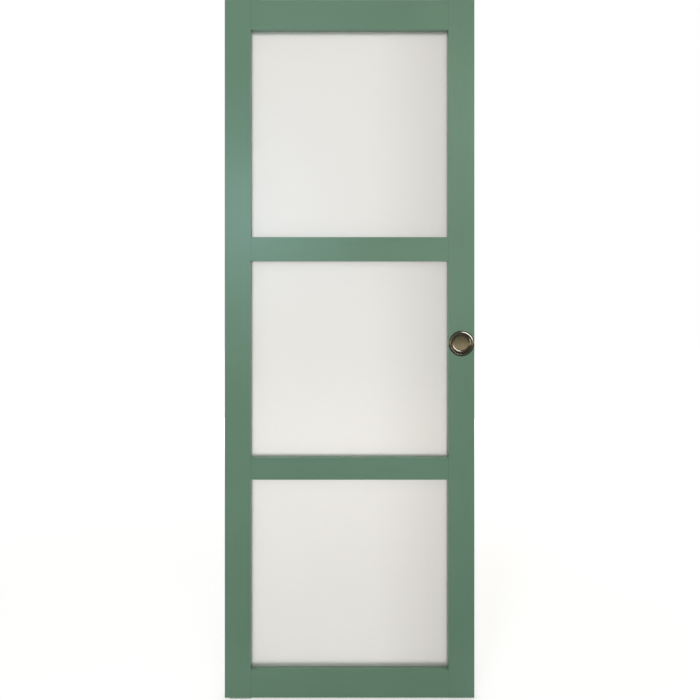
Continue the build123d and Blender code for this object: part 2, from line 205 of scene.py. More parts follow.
# %% Lay the floor
FLOOR_HALF = 9.0
FLOOR_PAINT = (0.75, 0.745, 0.73)
GLOW_REACH = (0.9, 4.5)
GLOW_SEEN = (0.50, 0.74)
GLOW_THROUGH_GLASS = 0.66
MATT = 0.9


def plane(name, corners):
    """A single flat face through four corners, as a piece of the stage."""
    mesh = bpy.data.meshes.new(name)
    mesh.from_pydata(corners, [], [(0, 1, 2, 3)])
    piece = bpy.data.objects.new(name, mesh)
    bpy.context.scene.collection.objects.link(piece)
    return piece


def new_material(name):
    """A material with its node tree, and the Principled shader in it."""
    material = bpy.data.materials.new(name)
    material.use_nodes = True
    return material, material.node_tree, material.node_tree.nodes["Principled BSDF"]


floor = plane("floor", [(x * FLOOR_HALF, y * FLOOR_HALF, 0)
                        for x, y in ((-1, -1), (1, -1), (1, 1), (-1, 1))])
floor_paint, tree, shader = new_material("floor_paint")
shader.inputs["Base Color"].default_value = (*FLOOR_PAINT, 1)
shader.inputs["Roughness"].default_value = MATT
shader.inputs["Emission Color"].default_value = (1, 1, 1, 1)
distance = tree.nodes.new("ShaderNodeVectorMath")
distance.operation = "LENGTH"
tree.links.new(tree.nodes.new("ShaderNodeTexCoord").outputs["Object"], distance.inputs[0])
glow = tree.nodes.new("ShaderNodeMapRange")
glow.interpolation_type = "SMOOTHSTEP"
for label, value in zip(("From Min", "From Max", "To Min", "To Max"), GLOW_REACH + GLOW_SEEN):
    glow.inputs[label].default_value = value
tree.links.new(distance.outputs["Value"], glow.inputs["Value"])
rays = tree.nodes.new("ShaderNodeLightPath").outputs
through = calculate(tree, "MULTIPLY", rays["Is Transmission Ray"], GLOW_THROUGH_GLASS)
lift = calculate(tree, "MULTIPLY_ADD", rays["Is Camera Ray"], glow.outputs["Result"], through)
tree.links.new(lift, shader.inputs["Emission Strength"])
floor.data.materials.append(floor_paint)
print("floor laid, glow", GLOW_SEEN)

# %% [markdown]
# ## The dark room in front
# Polished nickel has no look of its own: it shows the room. In a white world it would
# look like chalk, so five cards make a dark room in front of the door that only
# reflections can see. Its paint glows a little by itself: nearly black at the floor,
# tan at about the height of a lit table, and nearly black again above, which is the
# small warm picture in the pull's hollow.

# %% Stand the dark cards
ROOM_LEFT, ROOM_RIGHT = -3.4, 4.2
ROOM_BACK, ROOM_FRONT = -2.8, -0.25
ROOM_LOW, ROOM_TOP = 0.01, 3.7
ROOM = ((ROOM_LEFT, ROOM_RIGHT), (ROOM_BACK, ROOM_FRONT), (ROOM_LOW, ROOM_TOP))
CARD_PAINT = (0.02, 0.02, 0.018)
ROOM_DARK = (0.030, 0.032, 0.024)
ROOM_BANDS = (
    (0.14, (0.085, 0.080, 0.048)),
    (0.28, (0.42, 0.35, 0.23)),
    (0.36, (0.09, 0.075, 0.06)),
)


def room_paint():
    """A dark matt paint whose glow is a ramp of colours over the height: each band's
    share of the room's height, with its colour, and darkness at both ends."""
    material, tree, shader = new_material("room_card_paint")
    shader.inputs["Base Color"].default_value = (*CARD_PAINT, 1)
    shader.inputs["Roughness"].default_value = MATT
    split = tree.nodes.new("ShaderNodeSeparateXYZ")
    tree.links.new(tree.nodes.new("ShaderNodeTexCoord").outputs["Object"], split.inputs[0])
    ramp = tree.nodes.new("ShaderNodeValToRGB")
    for end in ramp.color_ramp.elements:
        end.color = (*ROOM_DARK, 1)
    for height, colour in ROOM_BANDS:
        ramp.color_ramp.elements.new(height).color = (*colour, 1)
    tree.links.new(calculate(tree, "DIVIDE", split.outputs["Z"], ROOM_TOP), ramp.inputs["Fac"])
    tree.links.new(ramp.outputs["Color"], shader.inputs["Emission Color"])
    shader.inputs["Emission Strength"].default_value = 1.0
    return material


def room_side(axis, value):
    """Four corners of the side of the room where x, y or z (axis 0, 1 or 2) has the
    given value: the other two run from their lowest to their highest."""
    first, second = (a for a in range(3) if a != axis)
    corners = []
    for i, j in ((0, 0), (1, 0), (1, 1), (0, 1)):
        corner = [value, value, value]
        corner[first], corner[second] = ROOM[first][i], ROOM[second][j]
        corners.append(corner)
    return corners


def stand_card(name, corners, material):
    """A card that only reflections see."""
    card = plane(name, corners)
    card.visible_camera = card.visible_transmission = False
    card.visible_diffuse = card.visible_shadow = False
    card.data.materials.append(material)


card_paint = room_paint()
for name, axis, value in (
    ("card_behind_camera", 1, ROOM_BACK), ("card_left", 0, ROOM_LEFT),
    ("card_right", 0, ROOM_RIGHT), ("card_above", 2, ROOM_TOP), ("card_below", 2, ROOM_LOW),
):
    stand_card(name, room_side(axis, value), card_paint)
print("dark room", ROOM)

# %% [markdown]
# ## The window on the right
# The fainter sheen on the right stile and the glints on the pull's ring and dish come
# from a second window, far to the right and leaning like a skylight. A lamp would light
# the whole leaf as well, so it is one more card: it glows only in reflections.

# %% Hang the window in the dark room
WINDOW_BACK = -2.05
WINDOW_GLOW = 2.6
window_corners = [(1.12, WINDOW_BACK, 2.02), (3.00, WINDOW_BACK, 1.02),
                  (3.45, WINDOW_BACK, 1.95), (1.32, WINDOW_BACK, 2.80)]
window_glow, tree, shader = new_material("window_glow")
shader.inputs["Base Color"].default_value = (0.8, 0.8, 0.8, 1)
shader.inputs["Emission Color"].default_value = (1.0, 0.97, 0.92, 1)
shader.inputs["Emission Strength"].default_value = WINDOW_GLOW
stand_card("window_right", window_corners, window_glow)
print("window glow", WINDOW_GLOW)

# %% [markdown]
# ## Effects that several finishes share
# Paint shows the timber's grain under it, aluminium shows the die's lines, glass the
# streaks of its bath: each is noise stretched along one direction. Moulded, painted and
# plated surfaces all have a fine unevenness, which is plain noise. Each effect is one
# node group, and a finish sets its own scale.

# %% Start a node group
def new_group(name, inputs, outputs):
    """An empty shader node group with named sockets, given as (name, type, value)."""
    group = bpy.data.node_groups.new(name, "ShaderNodeTree")
    for label, kind, value in inputs:
        socket = group.interface.new_socket(name=label, in_out="INPUT", socket_type=kind)
        if value is not None:
            socket.default_value = value
    for label, kind in outputs:
        group.interface.new_socket(name=label, in_out="OUTPUT", socket_type=kind)
    return group, group.nodes.new("NodeGroupInput"), group.nodes.new("NodeGroupOutput")


print("helper ready:", new_group.__name__)

# %% Build the group of drawn lines
LINE_ROUGHNESS = 0.6


def drawn_lines_group():
    """Noise of the place times a stretch: a small number along one axis draws it out
    into lines that way. Its value runs from 0 to 1 about a mean of 0.5."""
    group, entry, leave = new_group(
        "drawn_lines",
        [("Place", "NodeSocketVector", None), ("Stretch", "NodeSocketVector", None),
         ("Detail", "NodeSocketFloat", 4.0)],
        [("Lines", "NodeSocketFloat")],
    )
    stretch = group.nodes.new("ShaderNodeVectorMath")
    stretch.operation = "MULTIPLY"
    noise = group.nodes.new("ShaderNodeTexNoise")
    noise.inputs["Scale"].default_value = 1.0
    noise.inputs["Roughness"].default_value = LINE_ROUGHNESS
    group.links.new(entry.outputs["Place"], stretch.inputs[0])
    group.links.new(entry.outputs["Stretch"], stretch.inputs[1])
    group.links.new(stretch.outputs[0], noise.inputs["Vector"])
    group.links.new(entry.outputs["Detail"], noise.inputs["Detail"])
    group.links.new(noise.outputs["Fac"], leave.inputs["Lines"])
    return group


drawn_lines = drawn_lines_group()
print("group:", drawn_lines.name)

# %% Build the group of unevenness
BROADER = 6.0


def unevenness_group():
    """Two layers of noise, one fine and one six times broader, with their mean."""
    group, entry, leave = new_group(
        "unevenness",
        [("Place", "NodeSocketVector", None), ("Scale", "NodeSocketFloat", 900.0)],
        [(name, "NodeSocketFloat") for name in ("Fine", "Broad", "Both")],
    )
    fine = group.nodes.new("ShaderNodeTexNoise")
    broad = group.nodes.new("ShaderNodeTexNoise")
    mean = group.nodes.new("ShaderNodeMix")
    for noise in (fine, broad):
        group.links.new(entry.outputs["Place"], noise.inputs["Vector"])
    group.links.new(entry.outputs["Scale"], fine.inputs["Scale"])
    broad_scale = calculate(group, "DIVIDE", entry.outputs["Scale"], BROADER)
    group.links.new(broad_scale, broad.inputs["Scale"])
    group.links.new(fine.outputs["Fac"], mean.inputs["A"])
    group.links.new(broad.outputs["Fac"], mean.inputs["B"])
    group.links.new(fine.outputs["Fac"], leave.inputs["Fine"])
    group.links.new(broad.outputs["Fac"], leave.inputs["Broad"])
    group.links.new(mean.outputs["Result"], leave.inputs["Both"])
    return group


unevenness = unevenness_group()
print("group:", unevenness.name)

# %% [markdown]
# ## Wiring a finish together
# A finish is a few of these effects, each narrowed to the range that it needs, then
# used as a colour, a roughness or a bump. All patterns read the surface's place in the
# door's own frame, so grain runs on from piece to piece and stays put when the leaf
# slides. The helpers below do one such step each.

# %% Place the shared groups
def place_node(tree):
    """The surface's place in the door's own frame, the same at every pose."""
    return tree.nodes.new("ShaderNodeTexCoord").outputs["Object"]


def add_lines(tree, stretch, detail=4.0):
    """One use of the drawn_lines group, and its output."""
    node = tree.nodes.new("ShaderNodeGroup")
    node.node_tree = drawn_lines
    node.inputs["Stretch"].default_value = stretch
    node.inputs["Detail"].default_value = detail
    tree.links.new(place_node(tree), node.inputs["Place"])
    return node.outputs["Lines"]


def add_unevenness(tree, scale):
    """One use of the unevenness group, and its outputs Fine, Broad and Both."""
    node = tree.nodes.new("ShaderNodeGroup")
    node.node_tree = unevenness
    node.inputs["Scale"].default_value = scale
    tree.links.new(place_node(tree), node.inputs["Place"])
    return node.outputs


print("groups can be placed")

# %% Narrow, blend and raise
def between(tree, mask, low, high, start=0.3, end=0.7):
    """A value that goes from low to high as the mask goes from start to end. Noise
    seldom leaves the middle, so start and end are usually 0.3 and 0.7."""
    node = tree.nodes.new("ShaderNodeMapRange")
    for label, value in zip(("From Min", "From Max", "To Min", "To Max"), (start, end, low, high)):
        node.inputs[label].default_value = value
    tree.links.new(mask, node.inputs["Value"])
    return node.outputs["Result"]


def blend_colours(tree, mask, first, second):
    """The first colour where the mask is 0, the second where it is 1. Either colour
    may be a value or the output of another node."""
    node = tree.nodes.new("ShaderNodeMix")
    node.data_type = "RGBA"
    tree.links.new(mask, node.inputs["Factor"])
    for socket, colour in (("A", first), ("B", second)):
        wanted = [i for i in node.inputs if i.name == socket and i.type == "RGBA"][0]
        if isinstance(colour, tuple):
            wanted.default_value = (*colour, 1)
        else:
            tree.links.new(colour, wanted)
    return [o for o in node.outputs if o.type == "RGBA"][0]


def raise_surface(tree, shader, layers):
    """Bumps one over another, given as (height output, depth in metres, strength)."""
    normal = None
    for height, depth, strength in layers:
        bump = tree.nodes.new("ShaderNodeBump")
        bump.inputs["Distance"].default_value = depth
        bump.inputs["Strength"].default_value = strength
        tree.links.new(height, bump.inputs["Height"])
        if normal is not None:
            tree.links.new(normal, bump.inputs["Normal"])
        normal = bump.outputs["Normal"]
    tree.links.new(normal, shader.inputs["Normal"])


print("effects can be wired")

# %% [markdown]
# ## Satin paint on timber
# The leaf is lacquered sage green. Three things keep it from looking like plastic: the
# grain still shows as faint ridges that run along each member, the sprayed coat has a
# very fine orange peel, and the colour drifts a little from place to place. The grain
# has to run up the stiles and along the rails, so the finish is made twice. Timber
# moves with the seasons, so a hairline shows in the paint where a rail meets a stile.

# %% Draw the hairline at the joints
PAINT_LIGHT = (0.145, 0.264, 0.180)
PAINT_DEEP = (0.129, 0.240, 0.162)
PAINT_SHADE = (0.07, 0.14, 0.09)
JOINT_WIDTH = 0.7 * MM
between_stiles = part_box("stile_right")[0].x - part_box("stile_left")[1].x


def joint_line(tree, colour):
    """The hairline that the paint shows over each shoulder of a rail: where the
    distance from the leaf's middle is within the joint's width of the stiles, the
    colour is the paint's shade, about half as bright."""
    split = tree.nodes.new("ShaderNodeSeparateXYZ")
    tree.links.new(place_node(tree), split.inputs[0])
    off_middle = calculate(tree, "SUBTRACT", split.outputs["X"], leaf_middle)
    distance = calculate(tree, "ABSOLUTE", off_middle)
    strip = calculate(tree, "GREATER_THAN", distance, between_stiles / 2 - JOINT_WIDTH)
    return blend_colours(tree, strip, colour, PAINT_SHADE)


print("between the stiles:", round(between_stiles, 4))

# %% Mix the paint
ACROSS_GRAIN, ALONG_GRAIN = 340.0, 7.0
PEEL_SCALE, DRIFT_SCALE = 850.0, 16.0
PORE_DARKNESS = 0.16
PORE_START, PORE_END = 0.5, 0.75
PAINT_ROUGH = (0.30, 0.40)
PAINT_IOR = 1.5
GRAIN_DEPTH, PEEL_DEPTH = 0.12 * MM, 0.03 * MM


def painted_timber(name, grain, jointed=False):
    """Satin paint. The grain's stretch is small along the fibres and large across."""
    material, tree, shader = new_material(name)
    fibres = add_lines(tree, grain, 5.0)
    peel = add_unevenness(tree, PEEL_SCALE)
    drift = add_unevenness(tree, DRIFT_SCALE)
    colour = blend_colours(tree, between(tree, drift["Broad"], 0, 1), PAINT_LIGHT, PAINT_DEEP)
    pores = between(tree, fibres, 0, PORE_DARKNESS, PORE_START, PORE_END)
    colour = blend_colours(tree, pores, colour, PAINT_SHADE)
    if jointed:
        colour = joint_line(tree, colour)
    tree.links.new(colour, shader.inputs["Base Color"])
    tree.links.new(between(tree, peel["Both"], *PAINT_ROUGH), shader.inputs["Roughness"])
    shader.inputs["IOR"].default_value = PAINT_IOR
    raise_surface(tree, shader, [(fibres, GRAIN_DEPTH, 0.35), (peel["Fine"], PEEL_DEPTH, 0.5)])
    return material


paint_upright = painted_timber("paint_grain_upright", (ACROSS_GRAIN, ACROSS_GRAIN, ALONG_GRAIN))
paint_across = painted_timber("paint_grain_across", (ALONG_GRAIN, ACROSS_GRAIN, ACROSS_GRAIN), True)
print("paints:", paint_upright.name, paint_across.name)

# %% Paint the stiles, rails and beads
def dress(node, material):
    """Give a node of the model one material."""
    nodes[node].data.materials.clear()
    nodes[node].data.materials.append(material)


timber = [name for name in nodes if name.startswith(("stile_", "rail_", "bead_"))]
for name in timber:
    dress(name, paint_upright if name.endswith(("_left", "_right")) else paint_across)
print("painted:", len(timber))

# %% [markdown]
# ## Etched glass
# The panes are obscured: acid has taken the polish off one face, so they pass light and
# show no picture. Most of what is seen is a pale, even white with faint upright streaks
# from the bath. The white turns a little greyer towards the closing side: that grey is
# painted shade, standing in for light that falls off across the leaf. Scattering inside
# the glass could be computed, but it is slow and noisy. A rough, partly transmissive
# shader gives the same look, and the streaks are drawn lines.

# %% Etch the glass
GLASS_PALE = (0.935, 0.91, 0.88)
# Painted shade: the grey the glass turns towards the closing side, where light falls off.
GLASS_PAINTED_SHADE = (0.80, 0.775, 0.74)
GLASS_STREAK = (0.95, 0.95, 0.94)
# Where the painted shade starts, and where it is full.
PAINTED_SHADE_FROM = leaf_low.x + 0.40
PAINTED_SHADE_TO = leaf_high.x - 0.05
STREAKS, STREAK_DETAIL, STREAK_SHARE = (130.0, 130.0, 1.6), 6.0, 0.10
FROST_SCALE, FROST_DEPTH = 2600.0, 0.02 * MM
ETCH_ROUGH = (0.34, 0.44)
GLASS_CLEAR = 0.68
GLASS_IOR = 1.5


def etched_glass_with_painted_shade():
    """Pale glass that turns greyer towards the closing side of the leaf: painted shade for light
    that falls off there.
    """
    material, tree, shader = new_material("etched_glass_with_painted_shade")
    split = tree.nodes.new("ShaderNodeSeparateXYZ")
    tree.links.new(place_node(tree), split.inputs[0])
    # Painted shade across the leaf: 0 on the hanging side, 1 near the closing side.
    across = tree.nodes.new("ShaderNodeMapRange")
    across.interpolation_type = "SMOOTHSTEP"
    across.inputs["From Min"].default_value = PAINTED_SHADE_FROM
    across.inputs["From Max"].default_value = PAINTED_SHADE_TO
    tree.links.new(split.outputs["X"], across.inputs["Value"])
    streaks = between(tree, add_lines(tree, STREAKS, STREAK_DETAIL), 0, STREAK_SHARE)
    frost = add_unevenness(tree, FROST_SCALE)
    # Pale glass, greyed by the painted shade towards the closing side.
    body = blend_colours(tree, across.outputs["Result"], GLASS_PALE, GLASS_PAINTED_SHADE)
    tree.links.new(blend_colours(tree, streaks, body, GLASS_STREAK), shader.inputs["Base Color"])
    tree.links.new(between(tree, frost["Both"], *ETCH_ROUGH), shader.inputs["Roughness"])
    shader.inputs["Transmission Weight"].default_value = GLASS_CLEAR
    shader.inputs["IOR"].default_value = GLASS_IOR
    raise_surface(tree, shader, [(frost["Fine"], FROST_DEPTH, 0.6)])
    return material


glass = etched_glass_with_painted_shade()
panes = [name for name in nodes if name.startswith("pane_")]
for name in panes:
    dress(name, glass)
print("etched:", panes)

# %% [markdown]
# ## Metals, nylon and rubber
# The gear above the leaf is quieter but is seen from above and behind. Zinc plate has a
# cloudy, slightly blue sheen, anodised aluminium has the die's lines along it, nylon is
# dull with a moulded skin, and rubber is almost black and soft-looking. Plating and
# anodising scatter light, so these two metals are only partly metallic: the satin skin
# stays pale in a dark room, where a mirror would go black.

# %% Mix zinc plate and aluminium
ZINC_METAL, ALUMINIUM_METAL = 0.6, 0.4
DIE_LINES, DIE_DETAIL = (1.5, 2200.0, 2200.0), 3.0
SATIN_SCALE = 500.0


def cloudy_metal(name, dark, light, rough, cloud_scale):
    """Metal whose colour and roughness drift in clouds, with a fine tooth."""
    material, tree, shader = new_material(name)
    clouds = add_unevenness(tree, cloud_scale)
    colour = blend_colours(tree, between(tree, clouds["Broad"], 0, 1), dark, light)
    tree.links.new(colour, shader.inputs["Base Color"])
    tree.links.new(between(tree, clouds["Both"], *rough), shader.inputs["Roughness"])
    shader.inputs["Metallic"].default_value = ZINC_METAL
    raise_surface(tree, shader, [(clouds["Fine"], 0.02 * MM, 0.4)])
    return material


def extruded_aluminium(name, dark, light, rough):
    """Satin aluminium with fine lines along the track."""
    material, tree, shader = new_material(name)
    lines = add_lines(tree, DIE_LINES, DIE_DETAIL)
    skin = add_unevenness(tree, SATIN_SCALE)
    colour = blend_colours(tree, between(tree, lines, 0, 1), dark, light)
    tree.links.new(colour, shader.inputs["Base Color"])
    tree.links.new(between(tree, skin["Both"], *rough), shader.inputs["Roughness"])
    shader.inputs["Metallic"].default_value = ALUMINIUM_METAL
    raise_surface(tree, shader, [(lines, 0.03 * MM, 0.4)])
    return material


zinc = cloudy_metal("zinc_plate", (0.52, 0.54, 0.57), (0.68, 0.70, 0.72), (0.26, 0.40), 420.0)
aluminium = extruded_aluminium("anodised_aluminium", (0.60, 0.61, 0.62), (0.70, 0.71, 0.72),
                               (0.40, 0.52))
print("metals:", zinc.name, aluminium.name)

# %% Mix nylon, rubber and tape
def moulded(name, dark, light, rough, grain_scale, depth):
    """Nylon, rubber or foam: two near tones and a moulded skin of the given depth."""
    material, tree, shader = new_material(name)
    skin = add_unevenness(tree, grain_scale)
    colour = blend_colours(tree, between(tree, skin["Broad"], 0, 1), dark, light)
    tree.links.new(colour, shader.inputs["Base Color"])
    tree.links.new(between(tree, skin["Both"], *rough), shader.inputs["Roughness"])
    raise_surface(tree, shader, [(skin["Fine"], depth, 0.5)])
    return material


def grey(value, blue=None):
    """A neutral tone, or one whose blue differs."""
    return (value, value, value if blue is None else blue)


wheel_nylon = moulded("wheel_nylon", grey(0.66, 0.62), grey(0.74, 0.70),
                      (0.42, 0.55), 1500.0, 0.02 * MM)
block_nylon = moulded("trolley_nylon", grey(0.020, 0.022), grey(0.032, 0.034),
                      (0.45, 0.60), 1800.0, 0.04 * MM)
guide_nylon = moulded("guide_nylon", grey(0.64, 0.60), grey(0.72, 0.68),
                      (0.42, 0.55), 1500.0, 0.03 * MM)
rubber = moulded("buffer_rubber", grey(0.012), grey(0.022, 0.021), (0.70, 0.85), 2200.0, 0.05 * MM)
tape = moulded("glazing_tape", grey(0.70, 0.68), grey(0.78, 0.76), (0.85, 0.95), 2500.0, 0.1 * MM)
print("moulded:", [m.name for m in (wheel_nylon, block_nylon, guide_nylon, rubber, tape)])

# %% Dress the plain pieces of the gear
plain_finishes = {
    "tape_": tape, "setting_blocks": rubber, "stop_buffer_": rubber,
    "trolley_": block_nylon, "floor_guide": guide_nylon,
    "hanger_plate_": zinc, "track_stop_": zinc, "stop_screws": zinc,
}
for name in nodes:
    for start, material in plain_finishes.items():
        if name.startswith(start):
            dress(name, material)
dress("track", aluminium)
print("materials:", len(bpy.data.materials))

# %% [markdown]
# ## Turned pieces
# A pull, a wheel and an axle are all made on a lathe, so all are one surface: a profile
# carried round an axis. The surface is a grid of numbers, radius and height along one
# side and the angle along the other, and numpy fills it in one step. Corners are never
# quite sharp on a real piece, so each corner of the profile is eased first.

# %% Ease and bow a profile
def ease(corners, sizes, steps=6):
    """Round a profile's corners. A corner C with neighbours A and B becomes the curve
    (1-t)^2 P + 2t(1-t) C + t^2 Q, where P and Q lie the given size from C towards A
    and towards B. Size 0 leaves a corner as it is."""
    corners = np.asarray(corners, float)
    sizes = np.asarray(sizes, float)[:, None]
    before = np.roll(corners, 1, axis=0) - corners
    after = np.roll(corners, -1, axis=0) - corners
    reach_before = np.linalg.norm(before, axis=1, keepdims=True)
    reach_after = np.linalg.norm(after, axis=1, keepdims=True)
    p = corners + before / reach_before * np.minimum(sizes, reach_before / 2)
    q = corners + after / reach_after * np.minimum(sizes, reach_after / 2)
    t = np.linspace(0, 1, steps)[None, :, None]
    curve = (1 - t) ** 2 * p[:, None] + 2 * t * (1 - t) * corners[:, None] + t**2 * q[:, None]
    return curve.reshape(-1, 2)


def bow(start, corner, end, steps):
    """A single curve from start to end that leans towards the corner, by the same
    formula as ease."""
    start, corner, end = (np.asarray(p, float) for p in (start, corner, end))
    t = np.linspace(0, 1, steps)[:, None]
    return (1 - t) ** 2 * start + 2 * t * (1 - t) * corner + t**2 * end


print("a bow of three steps:", bow((0, 0), (1, 0), (1, 1), 3).tolist())

# %% Carry a profile round an axis
def carry_round(profile, centre, axis=(0, 0, 1), turns=96, outline=None):
    """The surface of a profile turned about an axis: the point at radius r, height h
    and angle a is centre + h axis + r cos(a) X + r sin(a) (axis x X). An outline gives
    the largest radius at each angle, as when a round bar is cut to a hexagon."""
    axis, side = np.asarray(axis, float), np.array([1.0, 0.0, 0.0])
    across = np.cross(axis, side)
    angle = np.linspace(0, 2 * np.pi, turns, endpoint=False)
    radius = np.repeat(profile[:, :1], turns, axis=1)
    if outline is not None:
        radius = np.minimum(radius, outline(angle)[None, :])
    height = np.repeat(profile[:, 1:], turns, axis=1)
    return (
        np.asarray(centre, float)
        + height[..., None] * axis
        + (radius * np.cos(angle))[..., None] * side
        + (radius * np.sin(angle))[..., None] * across
    )


def grid_faces(rows, columns, closed):
    """Corner numbers of a grid's quads. The columns wrap round, the rows if closed."""
    row = np.arange(rows if closed else rows - 1)[:, None]
    column = np.arange(columns)[None, :]
    next_row, next_column = (row + 1) % rows, (column + 1) % columns
    corners = [row * columns + column, row * columns + next_column,
               next_row * columns + next_column, next_row * columns + column]
    return np.stack(corners, axis=-1).reshape(-1, 4)


print("quads of a grid of 3 by 4:", len(grid_faces(3, 4, False)))

# %% Put grids into a mesh and finish the piece
WELD = 0.002 * MM
TINY_EDGE = 0.0001 * MM


def make_piece(name, grids, closed, material, body, replaced=(), sharp=40):
    """One object from one or more grids of points. Poles and seams are welded, faces
    turned outwards, and edges steeper than the sharp angle kept crisp."""
    points = np.concatenate([g.reshape(-1, 3) for g in grids])
    starts = np.cumsum([0] + [g.shape[0] * g.shape[1] for g in grids[:-1]])
    faces = np.concatenate([grid_faces(g.shape[0], g.shape[1], closed) + start
                            for g, start in zip(grids, starts)])
    mesh = bpy.data.meshes.new(name)
    mesh.from_pydata(points.tolist(), [], faces.tolist())
    shell = bmesh.new()
    shell.from_mesh(mesh)
    bmesh.ops.remove_doubles(shell, verts=shell.verts, dist=WELD)
    bmesh.ops.dissolve_degenerate(shell, dist=TINY_EDGE, edges=shell.edges)
    bmesh.ops.recalc_face_normals(shell, faces=shell.faces)
    shell.to_mesh(mesh)
    shell.free()
    mesh.shade_smooth()
    mesh.set_sharp_from_angle(angle=np.radians(sharp))
    mesh.materials.append(material)
    piece = bpy.data.objects.new(name, mesh)
    bpy.context.scene.collection.objects.link(piece)
    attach(piece, body)
    if replaced:
        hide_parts(*replaced)
    return piece


def middle_of(node):
    """The middle of a node's box, and its size along each axis."""
    low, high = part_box(node)
    return (low + high) / 2, high - low


pull_middle, pull_size = middle_of("pull_front")
print("pull stands at", tuple(round(v, 4) for v in pull_middle))

# %% [markdown]
# ## The finger pulls
# The pull is turned from one piece of brass and nickel plated: a dish that takes three
# fingertips, and a ring that covers the bore's edge. The dish's floor is slightly
# hollow, so it gathers a whole room into one small dark picture. Polish leaves the
# lathe's circles as very fine rings, which stretch each glint sideways. The rings
# follow the radius, so the finish reads its own distance from the pull's axis.

# %% Plate with nickel
RING_SCALE = 2600.0
WIPE_SCALE = 260.0
NICKEL_DARK, NICKEL_LIGHT = (0.60, 0.57, 0.50), (0.70, 0.67, 0.60)
NICKEL_ROUGH = (0.10, 0.19)


def polished_nickel(centre):
    """Nickel with faint turning rings: noise of the distance from an axis along Y
    through the centre, which is the length of (x, 0, z) once the centre is taken off."""
    material, tree, shader = new_material("polished_nickel")
    shift, flat, radius = (tree.nodes.new("ShaderNodeVectorMath") for _ in range(3))
    shift.operation, flat.operation, radius.operation = "SUBTRACT", "MULTIPLY", "LENGTH"
    shift.inputs[1].default_value = centre
    flat.inputs[1].default_value = (1, 0, 1)
    rings = tree.nodes.new("ShaderNodeTexNoise")
    rings.noise_dimensions = "1D"
    rings.inputs["Scale"].default_value = RING_SCALE
    tree.links.new(place_node(tree), shift.inputs[0])
    tree.links.new(shift.outputs[0], flat.inputs[0])
    tree.links.new(flat.outputs[0], radius.inputs[0])
    tree.links.new(radius.outputs["Value"], rings.inputs["W"])
    wipe = add_unevenness(tree, WIPE_SCALE)
    colour = blend_colours(tree, between(tree, wipe["Broad"], 0, 1), NICKEL_DARK, NICKEL_LIGHT)
    tree.links.new(colour, shader.inputs["Base Color"])
    tree.links.new(between(tree, wipe["Both"], *NICKEL_ROUGH), shader.inputs["Roughness"])
    shader.inputs["Metallic"].default_value = 1.0
    raise_surface(tree, shader, [(rings.outputs["Fac"], 0.01 * MM, 0.35)])
    return material


nickel = polished_nickel(tuple(pull_middle))
print("plated:", nickel.name)

# %% Turn the pulls
PULL_RIM = pull_size.x / 2
PULL_MOUTH = 31.0 * MM
PULL_WALL = 1.5 * MM
RING_HEIGHT = 2.4 * MM
RING_EDGE = 0.2 * MM
RING_FALL = 3.5 * MM
MOUTH_LIP = 0.6 * MM
MOUTH_ROUND = 0.8 * MM
DISH_START = 22.0 * MM
DISH_LEAN = 2.0 * MM
DISH_RISE = 1.4 * MM
FLOOR_HOLLOW = 0.75 * MM
pull_back = pull_size.y - RING_HEIGHT
dish_floor = -pull_back + PULL_WALL
hollow = dish_floor - FLOOR_HOLLOW
lip = RING_HEIGHT - MOUTH_LIP
ring_start = PULL_MOUTH + MOUTH_ROUND
cup = PULL_MOUTH + PULL_WALL

pull_profile = np.concatenate([
    bow((0, hollow), (DISH_START / 2, hollow), (DISH_START, dish_floor), 12),
    bow((DISH_START, dish_floor), (PULL_MOUTH - DISH_LEAN, dish_floor + DISH_RISE),
        (PULL_MOUTH, lip), 24),
    bow((PULL_MOUTH, lip), (PULL_MOUTH + 0.1 * MM, RING_HEIGHT), (ring_start, RING_HEIGHT), 6),
    bow((ring_start, RING_HEIGHT), (PULL_RIM - RING_FALL, RING_HEIGHT), (PULL_RIM, RING_EDGE), 16),
    [(PULL_RIM, 0), (cup, 0), (cup, -pull_back), (0, -pull_back)],
])
for name, face, outward in (("pull_front", leaf_low.y, -1), ("pull_back", -leaf_low.y, 1)):
    grid = carry_round(pull_profile, (pull_middle.x, face, pull_middle.z), (0, outward, 0), 128)
    make_piece(f"{name}_turned", [grid], False, nickel, "leaf", (name,), 50)
print("pull profile points:", len(pull_profile))

# %% [markdown]
# ## The trolley wheels
# Each wheel is a nylon tyre on a fixed axle: a barely crowned tread, eased shoulders and
# a dished outer face with a hub. It is turned like the pulls, about its own axle, and
# each rides on its own body so that it rolls when the leaf slides.

# %% Turn the wheels
CROWN = 0.05 * MM
WHEEL_DISH = 0.7 * MM
TYRE_WALL, DISH_EDGE = 2.2 * MM, 2.8 * MM
HUB_TOP, HUB_FOOT = 1.7 * MM, 2.2 * MM
AXLE_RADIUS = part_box("axles")[1].z - middle_of("axles")[0].z
BORE_GAP = 0.05 * MM
WHEEL_EASES = np.array([0.7, 0, 0.7, 0.3, 0.3, 0.3, 0.3, 0.1, 0.1]) * MM


def wheel_profile(radius, bore, width):
    """A closed section: tread with its crown, outer face with its dish and hub, bore
    and inner face."""
    corners = [
        (radius, 0), (radius + CROWN, width / 2), (radius, width),
        (radius - TYRE_WALL, width), (radius - DISH_EDGE, width - WHEEL_DISH),
        (bore + HUB_FOOT, width - WHEEL_DISH), (bore + HUB_TOP, width), (bore, width), (bore, 0),
    ]
    return ease(corners, WHEEL_EASES, 5)


wheels = [name for name in nodes if name.startswith("wheel_")]
for name in wheels:
    middle, size = middle_of(name)
    outward = 1 if middle.y > 0 else -1
    start = (middle.x, middle.y - outward * size.y / 2, middle.z)
    profile = wheel_profile(size.x / 2 - CROWN, AXLE_RADIUS + BORE_GAP, size.y)
    grid = carry_round(profile, start, (0, outward, 0), 72)
    make_piece(f"{name}_turned", [grid], True, wheel_nylon, name, (name,))
print("wheels:", len(wheels))

# %% [markdown]
# ## The axles
# An axle is a steel pin that is peened over beyond each wheel. The pin and both its
# eased heads are again one profile, carried round once: one half is written down, and
# the other is the same list with its heights turned over.

